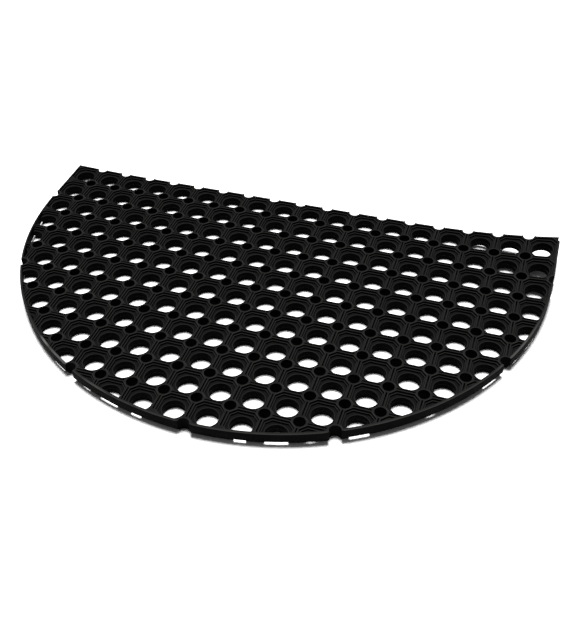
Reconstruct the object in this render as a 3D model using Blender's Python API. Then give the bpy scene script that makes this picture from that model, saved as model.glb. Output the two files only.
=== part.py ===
"""Half round ring mat: one moulded sheet of rubber with a square grid of drain holes.

Metres, +Z up. The origin is on the floor under the middle of the mat's box. The straight
back edge runs along X on the +Y side, and the arc bulges towards -Y.
"""

import math

import bmesh
import bpy

# Driving dimensions
MAT_WIDTH = 0.750
CELLS_ACROSS = 18
CELLS_DEEP = 11
STRAIGHT_CELLS = 2
MAT_THICKNESS = 0.0185

# One cell of the grid is one big drain hole; a small round hole sits on every grid point
PITCH = MAT_WIDTH / CELLS_ACROSS
ARC_RADIUS = MAT_WIDTH / 2
MAT_DEPTH = CELLS_DEEP * PITCH
ARC_CENTRE_Y = MAT_DEPTH / 2 - STRAIGHT_CELLS * PITCH

# Big holes are octagonal funnels: distance from the axis to a flat, at the top and below
FUNNEL_TOP = 0.42 * PITCH
FUNNEL_BOTTOM = 0.335 * PITCH
CUT_FUNNEL = 0.38 * PITCH
FUNNEL_SIDES = 8
SMALL_HOLE_RADIUS = 0.17 * PITCH
SMALL_HOLE_SIDES = 6

# The outer wall stops short of the floor, and the ribs under the mat stand back from it
RIM_WALL = 0.0031
SKIRT_GAP = 0.0052
FOOT_SETBACK = 0.0036
CORNER_STEP = 0.0023
CORNER_STEP_AT = 0.20 * PITCH

# The most holes and notches, and the smallest share of a big hole that the arc leaves open
GAP_LIMIT = 300
SMALLEST_CUT_SHARE = 0.20

# Chords of the front arc, and how near a whole hole's corners may come to the outer wall
ARC_STEPS = 48
CORNER_ALLOWANCE = 0.02 * 0.42 * PITCH

# A small hole becomes a notch where its centre lies this near the arc
NOTCH_REACH_IN = 0.5 * SMALL_HOLE_RADIUS
NOTCH_REACH_OUT = 0.001 * ARC_RADIUS

# The two back corners lift off the floor: height at the corner and reach along both edges
RIGHT_CURL_HEIGHT = 0.0175
RIGHT_CURL_REACH = 5.5 * PITCH
LEFT_CURL_HEIGHT = 0.0030
LEFT_CURL_REACH = 4.0 * PITCH
CURL_POWER = 2.4

# Cutters run past both faces by this much
OVERCUT = 0.0020

RUBBER_COLOUR = (0.020, 0.020, 0.021, 1.0)
RUBBER_ROUGHNESS = 0.58


def clear_scene():
    """Takes every object out of the file."""
    for thing in list(bpy.data.objects):
        bpy.data.objects.remove(thing)


def grid_point(i, j):
    """Plan position of grid point i across and j towards the front, from the back left corner."""
    return (i - CELLS_ACROSS / 2) * PITCH, MAT_DEPTH / 2 - j * PITCH


def arc_distance(x, y):
    """Distance of a plan point from the centre of the front arc."""
    return math.hypot(x, y - ARC_CENTRE_Y)


def room_to_rim(x, y):
    """How far a plan point lies inside the mat's outline."""
    to_sides = min(ARC_RADIUS - abs(x), MAT_DEPTH / 2 - y)
    if y >= ARC_CENTRE_Y:
        return to_sides
    return min(to_sides, ARC_RADIUS - arc_distance(x, y))


def regular_polygon(x, y, apothem, sides):
    """Corners of a regular polygon, counter-clockwise, with a flat towards +X."""
    corner = apothem / math.cos(math.pi / sides)
    angles = [(2 * n + 1) * math.pi / sides for n in range(sides)]
    return [(x + corner * math.cos(a), y + corner * math.sin(a)) for a in angles]


def round_polygon(x, y, radius, sides):
    """Corners of a polygon of the same area as a circle, counter-clockwise."""
    corner = radius * math.sqrt(2 * math.pi / (sides * math.sin(2 * math.pi / sides)))
    angles = [(2 * n + 1) * math.pi / sides for n in range(sides)]
    return [(x + corner * math.cos(a), y + corner * math.sin(a)) for a in angles]


def half_round(inset):
    """Plan outline moved in by inset, counter-clockwise from the back left corner."""
    half = ARC_RADIUS - inset
    back = MAT_DEPTH / 2 - inset
    step_y = back - CORNER_STEP_AT
    arc = [math.pi * n / ARC_STEPS for n in range(ARC_STEPS + 1)]
    front = [(-half * math.cos(a), ARC_CENTRE_Y - half * math.sin(a)) for a in arc]
    right = [(half, step_y), (half - CORNER_STEP, step_y), (half - CORNER_STEP, back)]
    side_points = [grid_point(0, n / 2)[1] for n in range(1, 2 * STRAIGHT_CELLS)]
    left_side = [(-half, y) for y in side_points if y < back]
    right_side = [(half, y) for y in reversed(side_points) if y < step_y]
    return [(-half, back)] + left_side + front + right_side + right


def area(polygon):
    """Signed area of a plan polygon."""
    ends = polygon[1:] + polygon[:1]
    return sum(a[0] * b[1] - b[0] * a[1] for a, b in zip(polygon, ends)) / 2


def clip_to_arc(polygon, radius):
    """The part of a convex polygon that lies inside a circle round the arc's centre."""
    kept = polygon
    reach = radius * math.cos(math.pi / ARC_STEPS / 2)
    for n in range(ARC_STEPS + 1):
        angle = -math.pi * n / ARC_STEPS
        normal = (math.cos(angle), math.sin(angle))
        clipped = []
        for (ax, ay), (bx, by) in zip(kept, kept[1:] + kept[:1]):
            da = ax * normal[0] + (ay - ARC_CENTRE_Y) * normal[1] - reach
            db = bx * normal[0] + (by - ARC_CENTRE_Y) * normal[1] - reach
            if da <= 0:
                clipped.append((ax, ay))
            if da * db < 0:
                t = da / (da - db)
                clipped.append((ax + t * (bx - ax), ay + t * (by - ay)))
        kept = clipped
        if len(kept) < 3:
            return []
    return kept


def add_prism(bm, top, bottom, top_z, bottom_z):
    """Adds a closed prism between two plan polygons with the same number of corners."""
    upper = [bm.verts.new((x, y, top_z)) for x, y in top]
    lower = [bm.verts.new((x, y, bottom_z)) for x, y in bottom]
    bm.faces.new(upper)
    bm.faces.new(list(reversed(lower)))
    for n in range(len(upper)):
        m = (n + 1) % len(upper)
        bm.faces.new((lower[n], lower[m], upper[m], upper[n]))


def add_tapered_hole(bm, x, y):
    """Adds the cutter of a whole big hole, which narrows from the top face to the floor."""
    slope = (FUNNEL_TOP - FUNNEL_BOTTOM) / MAT_THICKNESS
    top = regular_polygon(x, y, FUNNEL_TOP + slope * OVERCUT, FUNNEL_SIDES)
    bottom = regular_polygon(x, y, FUNNEL_BOTTOM - slope * OVERCUT, FUNNEL_SIDES)
    add_prism(bm, top, bottom, MAT_THICKNESS + OVERCUT, -OVERCUT)


def add_straight_hole(bm, polygon):
    """Adds the cutter of a hole with upright walls."""
    add_prism(bm, polygon, polygon, MAT_THICKNESS + OVERCUT, -OVERCUT)


def cell_centres():
    """Centres of all the grid's cells, row by row from the back edge."""
    rows = range(CELLS_DEEP)
    return [grid_point(i + 0.5, j + 0.5) for j in rows for i in range(CELLS_ACROSS)]


def rim_grid_points():
    """Grid points on the outline, where a small hole becomes a notch."""
    back = [(i, 0) for i in range(1, CELLS_ACROSS)]
    front = []
    for j in range(STRAIGHT_CELLS, CELLS_DEEP + 1):
        for i in range(CELLS_ACROSS + 1):
            outside = arc_distance(*grid_point(i, j)) - ARC_RADIUS
            if -NOTCH_REACH_IN < outside <= NOTCH_REACH_OUT:
                front.append((i, j))
    return back + front


def inner_grid_points():
    """Grid points that carry a whole small hole, those furthest from the outline first."""
    found = []
    for j in range(1, CELLS_DEEP):
        for i in range(1, CELLS_ACROSS):
            room = room_to_rim(*grid_point(i, j))
            if room > SMALL_HOLE_RADIUS + RIM_WALL:
                found.append((-room, j, i))
    return [(i, j) for _, j, i in sorted(found)]


def hole_cutter():
    """One mesh object with a closed prism for every hole and notch."""
    bm = bmesh.new()
    holes = 0
    inner_radius = ARC_RADIUS - RIM_WALL
    whole_reach = inner_radius + CORNER_ALLOWANCE
    funnel_corner = FUNNEL_TOP / math.cos(math.pi / FUNNEL_SIDES)
    whole_area = area(regular_polygon(0, 0, CUT_FUNNEL, FUNNEL_SIDES))
    for x, y in cell_centres():
        if y > ARC_CENTRE_Y or arc_distance(x, y) + funnel_corner <= whole_reach:
            add_tapered_hole(bm, x, y)
            holes += 1
            continue
        cut = clip_to_arc(regular_polygon(x, y, CUT_FUNNEL, FUNNEL_SIDES), inner_radius)
        if cut and area(cut) > SMALLEST_CUT_SHARE * whole_area:
            add_straight_hole(bm, cut)
            holes += 1
    notches = rim_grid_points()
    small_holes = inner_grid_points()[: GAP_LIMIT - holes - len(notches)]
    for i, j in small_holes + notches:
        x, y = grid_point(i, j)
        add_straight_hole(bm, round_polygon(x, y, SMALL_HOLE_RADIUS, SMALL_HOLE_SIDES))
    mesh = bpy.data.meshes.new("hole_cutter")
    bm.to_mesh(mesh)
    bm.free()
    cutter = bpy.data.objects.new("hole_cutter", mesh)
    cutter.hide_render = True
    cutter.display_type = "WIRE"
    bpy.context.scene.collection.objects.link(cutter)
    return cutter


def mat_blank():
    """The uncut slab: the outer wall above, and the ribs' outline set back below it."""
    bm = bmesh.new()
    outer = half_round(0)
    inner = half_round(FOOT_SETBACK)
    levels = [(inner, 0.0), (inner, SKIRT_GAP), (outer, SKIRT_GAP), (outer, MAT_THICKNESS)]
    rings = [[bm.verts.new((x, y, z)) for x, y in plan] for plan, z in levels]
    bm.faces.new(list(reversed(rings[0])))
    bm.faces.new(rings[-1])
    for lower, upper in zip(rings, rings[1:]):
        for n in range(len(lower)):
            m = (n + 1) % len(lower)
            bm.faces.new((lower[n], lower[m], upper[m], upper[n]))
    mesh = bpy.data.meshes.new("mat")
    bm.to_mesh(mesh)
    bm.free()
    mat = bpy.data.objects.new("mat", mesh)
    bpy.context.scene.collection.objects.link(mat)
    return mat


def cut_holes(mat, cutter):
    """Cuts every hole through the slab at once and keeps the result as the mat's own mesh."""
    cut = mat.modifiers.new("holes", "BOOLEAN")
    cut.operation = "DIFFERENCE"
    cut.solver = "EXACT"
    cut.object = cutter
    bpy.context.view_layer.objects.active = mat
    bpy.ops.object.modifier_apply(modifier=cut.name)
    bpy.data.objects.remove(cutter)


def corner_lift(x, y):
    """Height by which a back corner stands off the floor at a plan point."""
    from_back = MAT_DEPTH / 2 - y
    lift = 0.0
    corners = ((1, RIGHT_CURL_HEIGHT, RIGHT_CURL_REACH), (-1, LEFT_CURL_HEIGHT, LEFT_CURL_REACH))
    for side, height, reach in corners:
        away = (ARC_RADIUS - side * x + from_back) / reach
        lift += height * max(0.0, 1.0 - away) ** CURL_POWER
    return lift


def triangulate_and_curl(mat):
    """Turns the cut faces into triangles, then lifts the back corners."""
    bm = bmesh.new()
    bm.from_mesh(mat.data)
    bmesh.ops.triangulate(bm, faces=bm.faces[:])
    for vert in bm.verts:
        vert.co.z += corner_lift(vert.co.x, vert.co.y)
    bm.to_mesh(mat.data)
    bm.free()


def rubber():
    """Black moulded rubber with a dull sheen."""
    material = bpy.data.materials.new("rubber")
    material.use_nodes = True
    shader = material.node_tree.nodes["Principled BSDF"]
    shader.inputs["Base Color"].default_value = RUBBER_COLOUR
    shader.inputs["Roughness"].default_value = RUBBER_ROUGHNESS
    shader.inputs["Metallic"].default_value = 0.0
    return material


def main():
    """Builds the mat as one solid."""
    clear_scene()
    mat = mat_blank()
    cut_holes(mat, hole_cutter())
    triangulate_and_curl(mat)
    mat.data.materials.append(rubber())


main()
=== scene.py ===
"""Half round ring mat of moulded rubber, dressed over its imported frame.

The sheet is one moulding. A square grid of stepped drain funnels fills it, small round
holes sit where four funnels meet, and a half round outer wall cuts the grid off.
"""

import logging
import math
from dataclasses import dataclass
from enum import Enum
from typing import Callable, Iterable, Iterator

import bmesh
import bpy
from mathutils import Matrix, Vector


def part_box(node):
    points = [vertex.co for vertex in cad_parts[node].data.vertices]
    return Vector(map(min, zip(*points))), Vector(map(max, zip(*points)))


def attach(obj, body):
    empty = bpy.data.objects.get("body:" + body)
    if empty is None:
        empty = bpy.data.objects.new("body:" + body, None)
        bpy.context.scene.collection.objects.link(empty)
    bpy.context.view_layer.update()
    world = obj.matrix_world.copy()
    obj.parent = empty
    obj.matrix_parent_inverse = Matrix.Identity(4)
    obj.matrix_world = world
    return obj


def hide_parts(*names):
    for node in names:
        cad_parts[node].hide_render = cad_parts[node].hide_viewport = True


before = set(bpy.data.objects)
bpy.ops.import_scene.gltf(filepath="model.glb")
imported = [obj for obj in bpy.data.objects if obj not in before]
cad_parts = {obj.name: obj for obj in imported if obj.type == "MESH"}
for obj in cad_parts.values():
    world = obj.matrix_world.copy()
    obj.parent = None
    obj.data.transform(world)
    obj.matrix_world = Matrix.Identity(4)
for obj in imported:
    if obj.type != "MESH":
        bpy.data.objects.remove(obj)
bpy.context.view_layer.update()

LOG = logging.getLogger("ring_mat")

# The photograph's frame, in pixels
PHOTO_WIDTH = 570
PHOTO_HEIGHT = 630

# Cutters run past the faces that they cut by this much, and what trims a cutter by more
OVERCUT = 0.0015
FAR_OVERCUT = 3 * OVERCUT

# A trimming solid keeps this far inside a face that it may not share, in metres
CLEARANCE = 0.0005

# A point this close to a line lies on it, in metres
HAIR = 0.0001

# A face looks up when its normal rises by more than this
UPWARD = 0.9

# The colour sockets of a Mix node, whose names its other kinds share
MIX_UNDER = 6
MIX_OVER = 7
MIX_RESULT = 2

Plan = tuple[float, float]
Place = tuple[float, float, float]
Colour = tuple[float, float, float, float]
Element = bmesh.types.BMVert | bmesh.types.BMEdge | bmesh.types.BMFace

# A straight line from one value to another: what comes in and what goes out, at each end
Line = tuple[tuple[float, float], tuple[float, float]]

WHITE: Colour = (1.0, 1.0, 1.0, 1.0)


class Cut(Enum):
    """What a cutter does to the piece under it."""

    AWAY = "DIFFERENCE"
    ONTO = "UNION"
    WITHIN = "INTERSECT"


class Part(Enum):
    """The parts of a mesh that are picked in edit mode, with the mesh's own list of them."""

    VERT = "verts"
    EDGE = "edges"
    FACE = "faces"


class BackCorner(Enum):
    """The two corners of the straight back edge, by the sign of X."""

    LEFT = -1
    RIGHT = 1


# Bench work: the steps that every piece is made with


def let_go() -> None:
    """Leaves edit mode and deselects everything."""
    if bpy.context.object is not None and bpy.context.object.mode != "OBJECT":
        bpy.ops.object.mode_set(mode="OBJECT")
    bpy.ops.object.select_all(action="DESELECT")


def take(piece: bpy.types.Object) -> None:
    """Selects one piece alone and makes it the active one.

    Args:
        piece: the piece to work on next.
    """
    let_go()
    piece.select_set(True)
    bpy.context.view_layer.objects.active = piece


def fresh(name: str) -> bpy.types.Object:
    """Names the primitive that was just added and puts its place and size into its mesh.

    Args:
        name: the name of the new piece.

    Returns:
        The new piece, with its object at the origin.
    """
    piece = bpy.context.object
    piece.name = name
    piece.data.name = name
    bpy.ops.object.transform_apply(location=True, rotation=True, scale=True)
    return piece


def looks_up(face: bmesh.types.BMFace) -> bool:
    """Whether a face lies flat and looks up."""
    return face.normal.z > UPWARD


def pick(piece: bpy.types.Object, part: Part, test: Callable[[Element], bool]) -> None:
    """Selects some parts of a piece in edit mode, and nothing else.

    Args:
        piece: the piece, in edit mode.
        part: what is picked: points, edges or faces.
        test: says which of them are picked.
    """
    bpy.ops.mesh.select_mode(type=part.name)
    bpy.ops.mesh.select_all(action="DESELECT")
    mesh = bmesh.from_edit_mesh(piece.data)
    for element in getattr(mesh, part.value):
        if test(element):
            element.select_set(True)
    bmesh.update_edit_mesh(piece.data)


@dataclass(frozen=True)
class Draw:
    """One step that draws the upper end of a piece up, with the end's growth along X and Y."""

    rise: float
    grow_x: float = 1.0
    grow_y: float = 1.0


def draw_up(piece: bpy.types.Object, *steps: Draw) -> None:
    """Draws a piece's flat upper end up and out, round the Z axis.

    Args:
        piece: the piece, modelled round the Z axis.
        steps: the steps, from the piece's own end upwards.
    """
    bpy.ops.object.mode_set(mode="EDIT")
    pick(piece, Part.FACE, looks_up)
    for step in steps:
        bpy.ops.mesh.extrude_region_move(TRANSFORM_OT_translate={"value": (0.0, 0.0, step.rise)})
        growth = (step.grow_x, step.grow_y, 1.0)
        bpy.ops.transform.resize(value=growth, center_override=(0.0, 0.0, 0.0))
    bpy.ops.object.mode_set(mode="OBJECT")


def work(piece: bpy.types.Object, cutter: bpy.types.Object, cut: Cut) -> None:
    """Works a cutter into a piece for good, and uses the cutter up.

    Args:
        piece: the piece that stays.
        cutter: one closed solid, or several that are clear of each other.
        cut: what the cutter does.
    """
    take(piece)
    step = piece.modifiers.new(cut.name.lower(), "BOOLEAN")
    step.operation = cut.value
    step.solver = "MANIFOLD"
    step.object = cutter
    bpy.ops.object.modifier_apply(modifier=step.name)
    bpy.data.objects.remove(cutter)


def copies(pattern: bpy.types.Object, places: Iterable[Plan], name: str) -> bpy.types.Object:
    """Lays copies of a pattern out over the plan and joins them.

    Args:
        pattern: the piece to copy, modelled round the Z axis. It is used up.
        places: the plan position of each copy, in metres.
        name: the name of the joined piece.

    Returns:
        One piece with a closed shell at each place.
    """
    laid = []
    for x, y in places:
        copy = pattern.copy()
        copy.data = pattern.data.copy()
        copy.data.transform(Matrix.Translation((x, y, 0.0)))
        bpy.context.scene.collection.objects.link(copy)
        laid.append(copy)
    bpy.data.objects.remove(pattern)
    take(laid[0])
    for copy in laid:
        copy.select_set(True)
    bpy.ops.object.join()
    joined = bpy.context.object
    joined.name = name
    joined.data.name = name
    return joined


@dataclass(frozen=True)
class Grid:
    """The square grid that the holes sit on, counted from the back left corner."""

    pitch: float
    back_y: float
    across: int = 18
    deep: int = 11
    straight: int = 2

    @property
    def radius(self) -> float:
        """Radius of the front arc."""
        return self.across * self.pitch / 2

    @property
    def arc_y(self) -> float:
        """Where the front arc's centre lies along Y."""
        return self.back_y - self.straight * self.pitch

    def place(self, i: float, j: float) -> Plan:
        """Plan position of grid place i across and j towards the front."""
        return (i - self.across / 2) * self.pitch, self.back_y - j * self.pitch

    def reach(self, i: float, j: float) -> float:
        """Distance of a grid place from the front arc's centre."""
        x, y = self.place(i, j)
        return math.hypot(x, y - self.arc_y)

    def cells(self, past: float) -> Iterator[Plan]:
        """Centres of the cells that touch the sheet.

        Args:
            past: how far outside the arc a cell's centre may lie.
        """
        for j in range(self.deep):
            for i in range(self.across):
                if j < self.straight or self.reach(i + 0.5, j + 0.5) < self.radius + past:
                    yield self.place(i + 0.5, j + 0.5)

    def inner_points(self, margin: float) -> Iterator[Plan]:
        """Grid points that lie well inside the outline.

        Args:
            margin: how far inside the arc such a point lies at least.
        """
        for j in range(1, self.deep):
            for i in range(1, self.across):
                if j <= self.straight or self.reach(i, j) < self.radius - margin:
                    yield self.place(i, j)

    def edge_points(self, inside: float, outside: float) -> Iterator[Plan]:
        """Grid points on the outline, where a small hole becomes a notch.

        Args:
            inside: how far inside the arc such a point may lie.
            outside: how far outside the arc it may lie.
        """
        for i in range(1, self.across):
            yield self.place(i, 0)
        for j in range(self.straight, self.deep + 1):
            for i in range(self.across + 1):
                past = self.reach(i, j) - self.radius
                if -inside < past < outside:
                    yield self.place(i, j)

    def boundaries(self) -> Iterator[tuple[Plan, bool]]:
        """Middle of each boundary between two cells, and whether it runs along Y."""
        for j in range(self.deep):
            for i in range(1, self.across):
                yield self.place(i, j + 0.5), True
        for j in range(1, self.deep):
            for i in range(self.across):
                yield self.place(i + 0.5, j), False


@dataclass(frozen=True)
class DrainCell:
    """One stepped drain funnel: an octagonal tread, a ledge under it and a round shaft.

    Depths are measured down from the sheet's top, and all sizes are in metres.
    """

    top: float
    tread_half: float
    tread_corner: float
    tread_depth: float
    ledge_half: float
    ledge_corner: float
    ledge_depth: float
    shaft_radius: float
    foot_radius: float
    foot_depth: float
    lip: float
    sides: int = 32

    def pocket(
        self, name: str, half: float, corner: float, depth: float, rim: float
    ) -> bpy.types.Object:
        """A plug for one octagonal step, with a bevelled lip.

        Args:
            name: the plug's name.
            half: half its width over the straight sides.
            corner: how much of each straight side the slanted corner takes.
            depth: how deep its floor lies.
            rim: how deep the edge lies that the lip softens.

        Returns:
            The plug, round the Z axis.
        """
        low = self.top - depth
        high = self.top - rim - self.lip
        let_go()
        bpy.ops.mesh.primitive_cube_add(
            size=1.0, location=(0.0, 0.0, (low + high) / 2), scale=(2 * half, 2 * half, high - low)
        )
        plug = fresh(name)
        bpy.ops.object.mode_set(mode="EDIT")
        pick(plug, Part.EDGE, lambda edge: abs(edge.verts[0].co.z - edge.verts[1].co.z) > HAIR)
        bpy.ops.mesh.bevel(offset=corner, segments=1, affect="EDGES")
        bpy.ops.object.mode_set(mode="OBJECT")
        flare = self.lip + OVERCUT
        grow = (half + flare) / half
        draw_up(plug, Draw(flare, grow, grow))
        return plug

    def shaft(self) -> bpy.types.Object:
        """A plug for the round shaft, with a sloped shoulder above the foot on the floor."""
        foot_top = self.top - self.foot_depth
        foot_height = foot_top - (self.shaft_radius - self.foot_radius)
        edge = self.top - self.ledge_depth - self.lip
        let_go()
        bpy.ops.mesh.primitive_cylinder_add(
            vertices=self.sides,
            radius=self.foot_radius,
            depth=foot_height + OVERCUT,
            location=(0.0, 0.0, (foot_height - OVERCUT) / 2),
        )
        plug = fresh("shaft")
        widen = self.shaft_radius / self.foot_radius
        flare = self.lip + OVERCUT / 2
        grow = (self.shaft_radius + flare) / self.shaft_radius
        draw_up(
            plug,
            Draw(foot_top - foot_height, widen, widen),
            Draw(edge - foot_top),
            Draw(flare, grow, grow),
        )
        return plug


@dataclass(frozen=True)
class GridHole:
    """The small round hole on a grid point, with the raised collar round it."""

    top: float
    radius: float
    collar_radius: float
    collar_foot: float
    lip: float
    sides: int = 24

    def round_bar(self, name: str, radius: float, low: float, high: float) -> bpy.types.Object:
        """A round bar whose facets keep clear of the grid's own lines.

        Args:
            name: the bar's name.
            radius: its radius.
            low: height of its lower end.
            high: height of its upper end.

        Returns:
            The bar, round the Z axis.
        """
        let_go()
        bpy.ops.mesh.primitive_cylinder_add(
            vertices=self.sides,
            radius=radius,
            depth=high - low,
            location=(0.0, 0.0, (low + high) / 2),
            rotation=(0.0, 0.0, math.pi / self.sides),
        )
        return fresh(name)

    def collar(self) -> bpy.types.Object:
        """The solid collar, before it is drilled, with a softened upper edge."""
        collar = self.round_bar("collar", self.collar_radius, self.collar_foot, self.top - self.lip)
        shrink = (self.collar_radius - self.lip) / self.collar_radius
        draw_up(collar, Draw(self.lip, shrink, shrink))
        return collar

    def drill(self) -> bpy.types.Object:
        """The drill for the hole, which flares at the top to soften its rim."""
        drill = self.round_bar("drill", self.radius, -OVERCUT, self.top - self.lip)
        flare = self.lip + OVERCUT
        grow = (self.radius + flare) / self.radius
        draw_up(drill, Draw(flare, grow, grow))
        return drill


@dataclass(frozen=True)
class RidgeGroove:
    """The narrow groove between the two ridges of a cell boundary."""

    top: float
    width: float
    length: float
    depth: float
    lip: float

    def slot(self, along_y: bool) -> bpy.types.Object:
        """A plug for one groove.

        Args:
            along_y: whether the groove runs along Y rather than along X.

        Returns:
            The plug, round the Z axis.
        """
        low = self.top - self.depth
        high = self.top - self.lip
        across = (self.width, self.length) if along_y else (self.length, self.width)
        let_go()
        bpy.ops.mesh.primitive_cube_add(
            size=1.0, location=(0.0, 0.0, (low + high) / 2), scale=(*across, high - low)
        )
        plug = fresh("slot")
        flare = self.lip + OVERCUT
        grow = (self.width + 2 * flare) / self.width
        draw_up(plug, Draw(flare, grow_x=grow) if along_y else Draw(flare, grow_y=grow))
        return plug


@dataclass(frozen=True)
class OuterWall:
    """The half round outline: an outer wall that stops above the floor, on a set-back foot.

    The wall's outer edges are rounded, the upper ones by the shoulder and the lower ones by
    the edge round. A small step is left in the right side, next to the back corner.
    """

    grid: Grid
    top: float
    thickness: float
    floor_gap: float
    foot_setback: float
    ridge_drop: float
    shoulder: float
    edge_round: float
    step: float
    step_length: float
    chords: int = 192
    shoulder_segments: int = 4
    edge_segments: int = 2

    def plate(
        self, name: str, inset: float, back_inset: float, low: float, high: float
    ) -> bpy.types.Object:
        """A flat half round plate.

        Args:
            name: the plate's name.
            inset: how far its sides and arc lie inside the outline.
            back_inset: how far its back edge lies inside the outline.
            low: height of its underside.
            high: height of its upper side.

        Returns:
            The closed plate.
        """
        let_go()
        bpy.ops.mesh.primitive_circle_add(
            vertices=self.chords,
            radius=self.grid.radius - inset,
            fill_type="NOTHING",
            location=(0.0, self.grid.arc_y, low),
        )
        plate = fresh(name)
        bpy.ops.object.mode_set(mode="EDIT")
        pick(plate, Part.VERT, lambda vert: vert.co.y > self.grid.arc_y + HAIR)
        bpy.ops.mesh.delete(type="VERT")
        pick(plate, Part.VERT, lambda vert: abs(vert.co.y - self.grid.arc_y) < HAIR)
        back = self.grid.straight * self.grid.pitch - back_inset
        bpy.ops.mesh.extrude_region_move(TRANSFORM_OT_translate={"value": (0.0, back, 0.0)})
        bpy.ops.mesh.select_all(action="SELECT")
        bpy.ops.mesh.edge_face_add()
        bpy.ops.mesh.extrude_region_move(TRANSFORM_OT_translate={"value": (0.0, 0.0, high - low)})
        bpy.ops.mesh.select_all(action="SELECT")
        bpy.ops.mesh.normals_make_consistent(inside=False)
        bpy.ops.object.mode_set(mode="OBJECT")
        return plate

    def blank(self) -> bpy.types.Object:
        """The uncut sheet, with its raised outer wall and its foot."""
        upper = self.plate("ring_mat", 0.0, 0.0, self.floor_gap, self.top)
        bpy.ops.object.mode_set(mode="EDIT")
        pick(upper, Part.EDGE, lambda edge: min(vert.co.z for vert in edge.verts) > self.top - HAIR)
        bpy.ops.mesh.bevel(offset=self.shoulder, segments=self.shoulder_segments, affect="EDGES")
        low_edge = self.floor_gap + HAIR
        pick(upper, Part.EDGE, lambda edge: max(vert.co.z for vert in edge.verts) < low_edge)
        bpy.ops.mesh.bevel(offset=self.edge_round, segments=self.edge_segments, affect="EDGES")
        bpy.ops.object.mode_set(mode="OBJECT")
        foot_top = self.floor_gap + 2 * OVERCUT
        foot = self.plate("foot", self.foot_setback, self.foot_setback, 0.0, foot_top)
        work(upper, foot, Cut.ONTO)
        ridge_top = self.top - self.ridge_drop
        sunk = self.plate("sunk", self.thickness, self.thickness, ridge_top, self.top + OVERCUT)
        work(upper, sunk, Cut.AWAY)
        work(upper, self.corner_block(), Cut.AWAY)
        self.score(upper)
        return upper

    def corner_block(self) -> bpy.types.Object:
        """The block that leaves the small step in the right side, next to the back corner."""
        high = self.top + OVERCUT
        side = self.grid.radius
        back = self.grid.back_y
        let_go()
        bpy.ops.mesh.primitive_cube_add(
            size=1.0,
            location=(side + OVERCUT, back + OVERCUT - self.step_length / 2, high / 2),
            scale=(2 * (self.step + OVERCUT), self.step_length + 2 * OVERCUT, high + OVERCUT),
        )
        return fresh("corner_block")

    def score(self, sheet: bpy.types.Object) -> None:
        """Scores the grid's lines into the sheet's faces, so that it can bend cell by cell.

        Args:
            sheet: the uncut sheet.
        """
        take(sheet)
        bpy.ops.object.mode_set(mode="EDIT")
        for i in range(1, self.grid.across):
            x, _ = self.grid.place(i, 0)
            bpy.ops.mesh.select_all(action="SELECT")
            bpy.ops.mesh.bisect(plane_co=(x, 0.0, 0.0), plane_no=(1.0, 0.0, 0.0))
        for j in range(1, self.grid.deep):
            _, y = self.grid.place(0, j)
            bpy.ops.mesh.select_all(action="SELECT")
            bpy.ops.mesh.bisect(plane_co=(0.0, y, 0.0), plane_no=(0.0, 1.0, 0.0))
        bpy.ops.object.mode_set(mode="OBJECT")

    def holds(self, point: Vector) -> bool:
        """Whether a point lies on the rim's rounded shoulder or its outer face.

        Args:
            point: a point of the sheet, before it bends.

        Returns:
            True past the shoulder's inner edge, along the sides and the arc.
        """
        edge = self.grid.radius - self.shoulder - self.edge_round
        if point.y > self.grid.arc_y:
            return abs(point.x) > edge
        return math.hypot(point.x, point.y - self.grid.arc_y) > edge

    def field(self) -> bpy.types.Object:
        """All the space inside the outer wall, open towards the back edge."""
        high = self.top + FAR_OVERCUT
        return self.plate("inside", self.thickness, -OVERCUT, -FAR_OVERCUT, high)


@dataclass(frozen=True)
class CornerCurl:
    """How one back corner lifts off the floor."""

    corner: BackCorner
    grid: Grid
    height: float
    reach: float
    power: float = 2.4

    def lift(self, x: float, y: float) -> float:
        """Height of the sheet off the floor at a plan point.

        Args:
            x: where the point lies across.
            y: where it lies along the depth.

        Returns:
            The height in metres.
        """
        from_side = self.grid.radius - self.corner.value * x
        away = (from_side + self.grid.back_y - y) / self.reach
        return self.height * max(0.0, 1.0 - away) ** self.power


@dataclass(frozen=True)
class RimHighlight:
    """A stretch of the outer rim painted pale as a highlight, as an ellipsoid round its middle."""

    place: Place
    reach: Place
    strength: float


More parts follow.
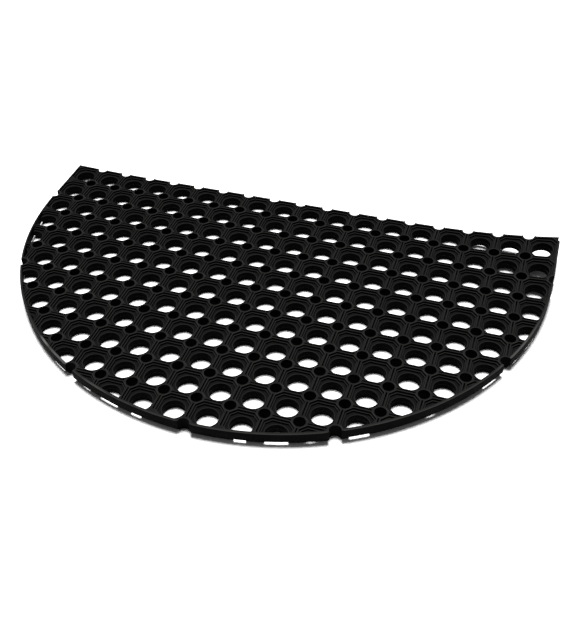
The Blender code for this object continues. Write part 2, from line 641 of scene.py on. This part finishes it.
@dataclass(frozen=True)
class MouldedRubber:
    """Black rubber from the mould: a dull bloom with painted top light where it faces up, painted
    shade deeper down, and painted highlights on the lips and the upper rim.

    It reads two values that the piece keeps for each point: the depth below the sheet's top,
    and whether the point is on the outer rim. So the finish follows the moulding where the
    sheet curls. A face's rise is 1 when it lies flat and 0 when it stands.
    """

    name: str = "moulded_rubber"
    depth_name: str = "mould_depth"
    rim_name: str = "outer_rim"
    black: Colour = (0.0014, 0.0014, 0.0015, 1.0)
    # Partly real bloom and partly painted top light: laid on every face that looks up
    bloom_and_top_light: Colour = (0.0068, 0.0067, 0.0066, 1.0)
    # Painted highlight: the pale colour laid on the slanted lips, where rounded edges catch light
    lip_highlight: Colour = (0.0250, 0.0247, 0.0241, 1.0)
    # Pale colour for real dust flecks, also used for the painted highlight on the outer rim's upper
    # faces
    dust_and_highlight: Colour = (0.1200, 0.1180, 0.1140, 1.0)
    specular: float = 0.03
    patch_per_metre: float = 26.0
    patch_detail: float = 4.0
    fleck_per_metre: float = 420.0
    fleck_detail: float = 2.0
    grain_per_metre: float = 1400.0
    grain_detail: float = 3.0
    grain_height: float = 0.00006
    grain_strength: float = 0.6
    flat_by_rise: Line = ((0.60, 0.0), (0.95, 1.0))
    lip_starts: Line = ((0.45, 0.0), (0.60, 1.0))
    lip_ends: Line = ((0.80, 1.0), (0.95, 0.0))
    rim_by_rise: Line = ((0.35, 0.0), (0.60, 1.0))
    # Painted shade: the pale top colour falls to a third within 2 mm below the top, so recesses look
    # darker
    shade_by_depth: Line = ((0.0, 1.0), (0.0020, 0.34))
    uneven_by_patch: Line = ((0.35, 0.75), (0.65, 1.25))
    rough_by_patch: Line = ((0.35, 0.74), (0.65, 0.90))
    dust_by_fleck: Line = ((0.74, 0.0), (0.80, 0.2))
    # Painted highlight along the whole upper rim, at this share at most
    highlight_by_rim: Line = ((0.0, 0.0), (1.0, 0.05))
    # Painted highlights on the rim: each is at full strength within this share of its reach
    highlight_core: float = 0.35
    # Bright streaks painted on the rim's shoulder and top, where light glints on them
    rim_highlights: tuple[RimHighlight, ...] = (
        RimHighlight((-0.219, -0.158, 0.0160), (0.019, 0.017, 0.0050), 1.0),
        RimHighlight((-0.192, -0.176, 0.0165), (0.046, 0.034, 0.0050), 0.50),
        RimHighlight((-0.128, -0.214, 0.0165), (0.034, 0.022, 0.0050), 0.25),
        RimHighlight((0.356, 0.005, 0.0175), (0.060, 0.070, 0.0060), 0.28),
    )

    def material(self) -> bpy.types.Material:
        """Mixes the finish on object coordinates.

        Returns:
            The material.
        """
        finish = bpy.data.materials.new(self.name)
        finish.use_nodes = True
        tree = finish.node_tree
        shader = tree.nodes["Principled BSDF"]
        shader.inputs["Metallic"].default_value = 0.0
        shader.inputs["Specular IOR Level"].default_value = self.specular
        patches = self.noise(tree, self.patch_per_metre, self.patch_detail)
        tree.links.new(self.tint(tree, patches), shader.inputs["Base Color"])
        roughness = self.ramp(tree, patches, self.rough_by_patch)
        tree.links.new(roughness, shader.inputs["Roughness"])
        tree.links.new(self.grain(tree), shader.inputs["Normal"])
        return finish

    def tint(self, tree: bpy.types.NodeTree, patches: bpy.types.NodeSocket) -> bpy.types.NodeSocket:
        """The colour: black with bloom and painted top light on what faces up, fading deeper down as
        painted shade, then painted highlights on the lips and the upper rim, and dust flecks.

        Args:
            tree: the material's node tree.
            patches: the cloudy pattern that makes the finish uneven.

        Returns:
            The colour at each point.
        """
        rise = self.rise(tree)
        uneven = self.ramp(tree, patches, self.uneven_by_patch)
        flat = self.ramp(tree, rise, self.flat_by_rise)
        # Painted shade in recesses: full top colour at the top, less deeper down
        unshaded = self.ramp(tree, self.kept(tree, self.depth_name), self.shade_by_depth)
        # Bloom and painted top light on what faces up, faded deeper down as painted shade
        bloom_and_light_share = self.product(tree, self.product(tree, flat, unshaded), uneven)
        bloomed_and_lit = self.blend(tree, bloom_and_light_share, self.black, self.bloom_and_top_light)
        past_start = self.ramp(tree, rise, self.lip_starts)
        before_end = self.ramp(tree, rise, self.lip_ends)
        # Painted highlight on the slanted lips between flat and standing faces
        lip_highlight_share = self.product(tree, self.product(tree, past_start, before_end), uneven)
        with_lip_highlight = self.blend(tree, lip_highlight_share, bloomed_and_lit, self.lip_highlight)
        # Painted highlight on the upper faces of the outer rim
        rim_highlight_share = self.product(tree, self.rim_highlight(tree, rise), uneven)
        highlighted = self.blend(tree, rim_highlight_share, with_lip_highlight, self.dust_and_highlight)
        flecks = self.noise(tree, self.fleck_per_metre, self.fleck_detail)
        fleck_share = self.product(tree, self.ramp(tree, flecks, self.dust_by_fleck), flat)
        return self.blend(tree, fleck_share, highlighted, self.dust_and_highlight)

    def rim_highlight(self, tree: bpy.types.NodeTree, rise: bpy.types.NodeSocket) -> bpy.types.NodeSocket:
        """The painted highlight on the outer rim's upper faces: a little all along, and more at each
        painted glint.

        Args:
            tree: the material's node tree.
            rise: the rise of each face.

        Returns:
            The share of painted highlight on the rim, from 0 to 1.
        """
        upper = self.ramp(tree, rise, self.rim_by_rise)
        rim = self.product(tree, upper, self.kept(tree, self.rim_name))
        highlighted = self.ramp(tree, rim, self.highlight_by_rim)
        # Each painted glint brightens the rim further
        for glint in self.rim_highlights:
            highlighted = self.larger(tree, highlighted, self.product(tree, rim, self.highlight_share(tree, glint)))
        return highlighted

    def grain(self, tree: bpy.types.NodeTree) -> bpy.types.NodeSocket:
        """The fine grain of the mould, as a bump.

        Args:
            tree: the material's node tree.

        Returns:
            The surface's direction at each point.
        """
        grain = self.noise(tree, self.grain_per_metre, self.grain_detail)
        bump = tree.nodes.new("ShaderNodeBump")
        bump.inputs["Distance"].default_value = self.grain_height
        bump.inputs["Strength"].default_value = self.grain_strength
        tree.links.new(grain, bump.inputs["Height"])
        return bump.outputs["Normal"]

    def noise(
        self, tree: bpy.types.NodeTree, per_metre: float, detail: float
    ) -> bpy.types.NodeSocket:
        """A cloudy pattern on object coordinates.

        Args:
            tree: the material's node tree.
            per_metre: how many clouds there are to the metre.
            detail: how many finer layers each cloud has.

        Returns:
            The pattern, from 0 to 1.
        """
        place = tree.nodes.new("ShaderNodeTexCoord")
        cloud = tree.nodes.new("ShaderNodeTexNoise")
        cloud.inputs["Scale"].default_value = per_metre
        cloud.inputs["Detail"].default_value = detail
        tree.links.new(place.outputs["Object"], cloud.inputs["Vector"])
        return cloud.outputs["Fac"]

    def rise(self, tree: bpy.types.NodeTree) -> bpy.types.NodeSocket:
        """How far each face looks up.

        Args:
            tree: the material's node tree.

        Returns:
            1 on a face that lies flat, 0 on one that stands.
        """
        surface = tree.nodes.new("ShaderNodeNewGeometry")
        parts = tree.nodes.new("ShaderNodeSeparateXYZ")
        tree.links.new(surface.outputs["Normal"], parts.inputs["Vector"])
        return parts.outputs["Z"]

    def kept(self, tree: bpy.types.NodeTree, name: str) -> bpy.types.NodeSocket:
        """A value that the piece keeps for each of its points.

        Args:
            tree: the material's node tree.
            name: the value's name on the piece.

        Returns:
            The value.
        """
        kept = tree.nodes.new("ShaderNodeAttribute")
        kept.attribute_name = name
        return kept.outputs["Fac"]

    def highlight_share(self, tree: bpy.types.NodeTree, glint: RimHighlight) -> bpy.types.NodeSocket:
        """How strong one painted highlight is at each point.

        Args:
            tree: the material's node tree.
            glint: the stretch of rim painted as a highlight.

        Returns:
            The highlight's strength in its core, falling to nothing at its reach.
        """
        place = tree.nodes.new("ShaderNodeTexCoord")
        away = tree.nodes.new("ShaderNodeVectorMath")
        away.operation = "SUBTRACT"
        away.inputs[1].default_value = glint.place
        tree.links.new(place.outputs["Object"], away.inputs[0])
        shares = tree.nodes.new("ShaderNodeVectorMath")
        shares.operation = "DIVIDE"
        shares.inputs[1].default_value = glint.reach
        tree.links.new(away.outputs["Vector"], shares.inputs[0])
        length = tree.nodes.new("ShaderNodeVectorMath")
        length.operation = "LENGTH"
        tree.links.new(shares.outputs["Vector"], length.inputs[0])
        fade = ((self.highlight_core, glint.strength), (1.0, 0.0))
        return self.ramp(tree, length.outputs["Value"], fade)

    def ramp(
        self, tree: bpy.types.NodeTree, value: bpy.types.NodeSocket, line: Line
    ) -> bpy.types.NodeSocket:
        """Turns one value into another along a straight line, held at both ends.

        Args:
            tree: the material's node tree.
            value: the value that comes in.
            line: the line's two ends.

        Returns:
            The value that goes out.
        """
        (first_in, first_out), (last_in, last_out) = line
        ramp = tree.nodes.new("ShaderNodeMapRange")
        ramp.inputs["From Min"].default_value = first_in
        ramp.inputs["From Max"].default_value = last_in
        ramp.inputs["To Min"].default_value = first_out
        ramp.inputs["To Max"].default_value = last_out
        tree.links.new(value, ramp.inputs["Value"])
        return ramp.outputs["Result"]

    def product(
        self, tree: bpy.types.NodeTree, one: bpy.types.NodeSocket, other: bpy.types.NodeSocket
    ) -> bpy.types.NodeSocket:
        """One value times another."""
        return self.reckon(tree, "MULTIPLY", one, other)

    def larger(
        self, tree: bpy.types.NodeTree, one: bpy.types.NodeSocket, other: bpy.types.NodeSocket
    ) -> bpy.types.NodeSocket:
        """The larger of two values."""
        return self.reckon(tree, "MAXIMUM", one, other)

    def reckon(
        self,
        tree: bpy.types.NodeTree,
        operation: str,
        one: bpy.types.NodeSocket,
        other: bpy.types.NodeSocket,
    ) -> bpy.types.NodeSocket:
        """Works one value out from two.

        Args:
            tree: the material's node tree.
            operation: the Math node's name for what is done.
            one: the first value.
            other: the second value.

        Returns:
            The value that comes out.
        """
        math_node = tree.nodes.new("ShaderNodeMath")
        math_node.operation = operation
        tree.links.new(one, math_node.inputs[0])
        tree.links.new(other, math_node.inputs[1])
        return math_node.outputs["Value"]

    def blend(
        self,
        tree: bpy.types.NodeTree,
        share: bpy.types.NodeSocket,
        under: Colour | bpy.types.NodeSocket,
        over: Colour,
    ) -> bpy.types.NodeSocket:
        """Lays one colour over another.

        Args:
            tree: the material's node tree.
            share: how much of the upper colour shows, from 0 to 1.
            under: the colour below.
            over: the colour on top.

        Returns:
            The blended colour.
        """
        mix = tree.nodes.new("ShaderNodeMix")
        mix.data_type = "RGBA"
        tree.links.new(share, mix.inputs["Factor"])
        if isinstance(under, bpy.types.NodeSocket):
            tree.links.new(under, mix.inputs[MIX_UNDER])
        else:
            mix.inputs[MIX_UNDER].default_value = under
        mix.inputs[MIX_OVER].default_value = over
        return mix.outputs[MIX_RESULT]


@dataclass
class RingMat:
    """The whole sheet, as one moulded piece.

    A grid point that lies less than notch_inside within the arc, or less than notch_outside
    past it, gets a notch instead of a hole.
    """

    grid: Grid
    wall: OuterWall
    cell: DrainCell
    hole: GridHole
    groove: RidgeGroove
    curls: tuple[CornerCurl, ...]
    finish: MouldedRubber
    notch_inside: float
    notch_outside: float
    weld: float = 0.00002
    crease_degrees: float = 28.0

    def build(self) -> bpy.types.Object:
        """Models, bends and dresses the sheet.

        Returns:
            The finished piece, in the frame's own place.
        """
        sheet = self.wall.blank()
        self.raise_collars(sheet)
        self.cut_grooves(sheet)
        self.sink_funnels(sheet)
        self.drill_small_holes(sheet)
        self.clean(sheet)
        self.keep_places(sheet)
        self.bend(sheet)
        sheet.data.materials.clear()
        sheet.data.materials.append(self.finish.material())
        take(sheet)
        bpy.ops.object.shade_smooth_by_angle(angle=math.radians(self.crease_degrees))
        return sheet

    def hole_places(self) -> list[Plan]:
        """Where the small holes sit, inside the sheet and on its edge."""
        inner = self.grid.inner_points(self.wall.thickness + self.hole.radius)
        return list(inner) + list(self.grid.edge_points(self.notch_inside, self.notch_outside))

    def raise_collars(self, sheet: bpy.types.Object) -> None:
        """Raises the collars round the small holes, cut off at the outline.

        Args:
            sheet: the sheet, which still has no holes.
        """
        collars = copies(self.hole.collar(), self.hole_places(), "collars")
        high = self.wall.top + OVERCUT
        outline = self.wall.plate("outline", CLEARANCE, CLEARANCE, 0.0, high)
        work(collars, outline, Cut.WITHIN)
        work(sheet, collars, Cut.ONTO)

    def cut_grooves(self, sheet: bpy.types.Object) -> None:
        """Cuts the grooves between the ridges of neighbouring cells.

        Args:
            sheet: the sheet, with its collars.
        """
        for along_y in (True, False):
            places = [place for place, runs_y in self.grid.boundaries() if runs_y is along_y]
            slots = copies(self.groove.slot(along_y), places, "slots")
            work(slots, self.wall.field(), Cut.WITHIN)
            work(sheet, slots, Cut.AWAY)

    def sink_funnels(self, sheet: bpy.types.Object) -> None:
        """Sinks the tread, the ledge and the shaft of every cell.

        Args:
            sheet: the sheet, with its collars and grooves.
        """
        cell = self.cell
        tread = (cell.tread_half, cell.tread_corner, cell.tread_depth, self.wall.ridge_drop)
        ledge = (cell.ledge_half, cell.ledge_corner, cell.ledge_depth, cell.tread_depth)
        plugs = (cell.pocket("tread", *tread), cell.pocket("ledge", *ledge), cell.shaft())
        places = list(self.grid.cells(self.grid.pitch / 2))
        for plug in plugs:
            laid = copies(plug, places, plug.name + "s")
            work(laid, self.wall.field(), Cut.WITHIN)
            work(sheet, laid, Cut.AWAY)

    def drill_small_holes(self, sheet: bpy.types.Object) -> None:
        """Drills the small round holes and the notches in the edge."""
        work(sheet, copies(self.hole.drill(), self.hole_places(), "drills"), Cut.AWAY)

    def clean(self, sheet: bpy.types.Object) -> None:
        """Welds stray points and splits the many-sided faces.

        Args:
            sheet: the sheet, with all its holes.
        """
        take(sheet)
        bpy.ops.object.mode_set(mode="EDIT")
        bpy.ops.mesh.select_all(action="SELECT")
        bpy.ops.mesh.remove_doubles(threshold=self.weld)
        bpy.ops.mesh.dissolve_degenerate(threshold=self.weld)
        pick(sheet, Part.FACE, lambda face: len(face.verts) > 4)
        bpy.ops.mesh.quads_convert_to_tris(quad_method="BEAUTY", ngon_method="BEAUTY")
        bpy.ops.object.mode_set(mode="OBJECT")

    def keep_places(self, sheet: bpy.types.Object) -> None:
        """Keeps each point's depth, and whether it is on the rim, for the finish.

        Args:
            sheet: the sheet, before it bends.
        """
        points = sheet.data.vertices
        depth = sheet.data.attributes.new(self.finish.depth_name, "FLOAT", "POINT")
        depth.data.foreach_set("value", [self.wall.top - vert.co.z for vert in points])
        rim = sheet.data.attributes.new(self.finish.rim_name, "FLOAT", "POINT")
        rim.data.foreach_set("value", [float(self.wall.holds(vert.co)) for vert in points])

    def bend(self, sheet: bpy.types.Object) -> None:
        """Lifts the back corners off the floor.

        Args:
            sheet: the finished sheet, which lies flat.
        """
        for vert in sheet.data.vertices:
            vert.co.z += sum(curl.lift(vert.co.x, vert.co.y) for curl in self.curls)
        sheet.data.update()


@dataclass(frozen=True)
class SoftSky:
    """One broad, far light of the studio."""

    name: str
    towards: Place
    strength: float
    spread_degrees: float

    def light(self) -> None:
        """Hangs the light in its direction, seen from the mat."""
        let_go()
        bpy.ops.object.light_add(type="SUN", location=self.towards)
        lamp = bpy.context.object
        lamp.name = self.name
        lamp.data.energy = self.strength
        lamp.data.angle = math.radians(self.spread_degrees)
        lamp.rotation_euler = (-Vector(self.towards)).to_track_quat("-Z", "Y").to_euler()


@dataclass(frozen=True)
class Studio:
    """The pale floor, the soft light and the camera at the photograph's angle."""

    focal_pixels: float = 841.3
    sensor_mm: float = 36.0
    camera_place: Place = (0.3066, -0.7902, 0.7367)
    camera_right: Place = (0.94532, 0.32498, -0.02744)
    camera_up: Place = (-0.19617, 0.63380, 0.74821)
    shift_across: float = 0.0390
    floor_half: float = 6.0
    floor_colour: Colour = (0.92, 0.92, 0.92, 1.0)
    floor_roughness: float = 0.9
    fill_strength: float = 0.14
    skies: tuple[SoftSky, ...] = (SoftSky("key_sky", (-0.10, 0.29, 0.95), 6.8, 25.0),)

    def build(self) -> None:
        """Sets the whole studio up."""
        self.lay_floor()
        self.light_all_round()
        for sky in self.skies:
            sky.light()
        self.set_camera()
        bpy.context.scene.view_settings.view_transform = "Standard"

    def lay_floor(self) -> None:
        """Lays the plain pale floor that the mat lies on."""
        let_go()
        bpy.ops.mesh.primitive_plane_add(size=2 * self.floor_half, location=(0.0, 0.0, 0.0))
        floor = fresh("studio_floor")
        paint = bpy.data.materials.new("studio_floor")
        paint.use_nodes = True
        shader = paint.node_tree.nodes["Principled BSDF"]
        shader.inputs["Base Color"].default_value = self.floor_colour
        shader.inputs["Roughness"].default_value = self.floor_roughness
        shader.inputs["Specular IOR Level"].default_value = 0.0
        floor.data.materials.append(paint)

    def light_all_round(self) -> None:
        """Lights the studio evenly from all round."""
        world = bpy.data.worlds.new("studio_fill")
        world.use_nodes = True
        fill = world.node_tree.nodes["Background"]
        fill.inputs["Color"].default_value = WHITE
        fill.inputs["Strength"].default_value = self.fill_strength
        bpy.context.scene.world = world

    def set_camera(self) -> None:
        """Puts the camera where the photograph was taken from."""
        right = Vector(self.camera_right).normalized()
        up = Vector(self.camera_up).normalized()
        back = right.cross(up).normalized()
        up = back.cross(right)
        let_go()
        bpy.ops.object.camera_add(location=self.camera_place)
        camera = bpy.context.object
        camera.name = "photo_camera"
        turn = Matrix((right, up, back)).transposed()
        camera.rotation_euler = turn.to_euler()
        camera.data.sensor_width = self.sensor_mm
        camera.data.lens = self.focal_pixels * self.sensor_mm / max(PHOTO_WIDTH, PHOTO_HEIGHT)
        camera.data.shift_x = self.shift_across
        bpy.context.scene.camera = camera


def design() -> RingMat:
    """Works the mat's sizes out from the frame, in metres or as shares of one cell.

    Returns:
        The mat, ready to build.
    """
    low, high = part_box("mat")
    across = Grid.across
    pitch = (high.x - low.x) / across
    grid = Grid(pitch=pitch, back_y=high.y)
    top = 0.0185
    lip = 0.010 * pitch
    ridge_drop = 0.008 * pitch
    wall = OuterWall(
        grid=grid,
        top=top,
        thickness=0.0031,
        floor_gap=0.0052,
        foot_setback=0.0036,
        ridge_drop=ridge_drop,
        shoulder=0.0019,
        edge_round=0.0005,
        step=0.0023,
        step_length=0.20 * pitch,
    )
    cell = DrainCell(
        top=top,
        tread_half=0.440 * pitch,
        tread_corner=0.191 * pitch,
        tread_depth=0.074 * pitch,
        ledge_half=0.395 * pitch,
        ledge_corner=0.161 * pitch,
        ledge_depth=0.136 * pitch,
        shaft_radius=0.338 * pitch,
        foot_radius=0.328 * pitch,
        foot_depth=0.300 * pitch,
        lip=lip,
    )
    hole = GridHole(
        top=top,
        radius=0.179 * pitch,
        collar_radius=0.226 * pitch,
        collar_foot=top - 0.12 * pitch,
        lip=lip,
    )
    groove = RidgeGroove(
        top=top - ridge_drop,
        width=0.046 * pitch,
        length=(1.0 - 2 * 0.234) * pitch,
        depth=0.160 * pitch,
        lip=0.5 * lip,
    )
    curls = (
        CornerCurl(BackCorner.RIGHT, grid, height=0.0175, reach=5.5 * pitch),
        CornerCurl(BackCorner.LEFT, grid, height=0.0030, reach=4.0 * pitch),
    )
    return RingMat(
        grid=grid,
        wall=wall,
        cell=cell,
        hole=hole,
        groove=groove,
        curls=curls,
        finish=MouldedRubber(),
        notch_inside=0.086 * pitch,
        notch_outside=0.009 * pitch,
    )


def main() -> None:
    """Builds the mat and the studio round it."""
    logging.basicConfig(level=logging.INFO, format="%(name)s: %(message)s")
    sheet = design().build()
    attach(sheet, "root")
    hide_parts("mat")
    triangles = sum(len(face.vertices) - 2 for face in sheet.data.polygons)
    LOG.info("%s: %d points, %d triangles", sheet.name, len(sheet.data.vertices), triangles)
    Studio().build()


if __name__ == "__main__":
    main()
